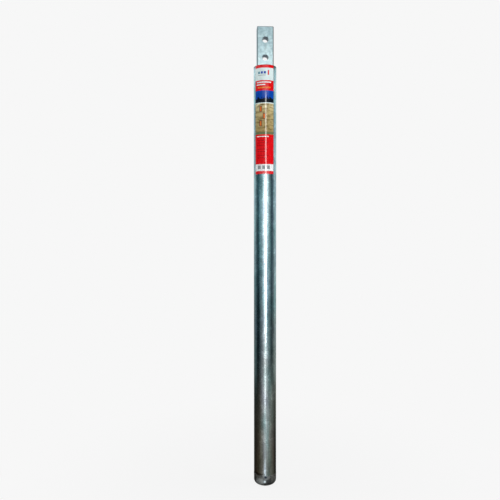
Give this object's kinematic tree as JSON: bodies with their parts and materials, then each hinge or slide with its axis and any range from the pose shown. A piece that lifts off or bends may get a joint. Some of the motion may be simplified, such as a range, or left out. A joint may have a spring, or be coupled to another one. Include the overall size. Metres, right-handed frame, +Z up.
{
  "type": "earth electrode",
  "caption": "Strip-in-pipe earth electrode: a galvanised steel pipe closed by a dished cap, with a thick flat conductor that comes out of its mouth as a bolted terminal",
  "frame": {"origin": "the lowest point of the dished cap, on the electrode's axis", "axes": "+Z runs up the electrode's axis, from the cap to the terminal; the terminal's bolted face and the label look toward -Y; +X runs across the terminal's width"},
  "size_m": [0.0488, 0.0488, 0.984],
  "materials": {
    "galvanised_pipe": "satin",
    "dull_cap_steel": "matte",
    "weld_metal": "matte",
    "galvanised_plate": "satin",
    "galvanised_strip": "satin",
    "packed_compound": "matte",
    "printed_film": "satin"
  },
  "bodies": {
    "root": {"outer_pipe": "galvanised_pipe", "bottom_cap": "dull_cap_steel", "bottom_weld": "weld_metal", "top_plate": "galvanised_plate", "top_rim_weld": "weld_metal", "conductor_strip": "galvanised_strip", "strip_weld": "weld_metal", "locating_plate": "galvanised_plate", "conductive_filling": "packed_compound", "label": "printed_film"}
  },
  "joints": []
}
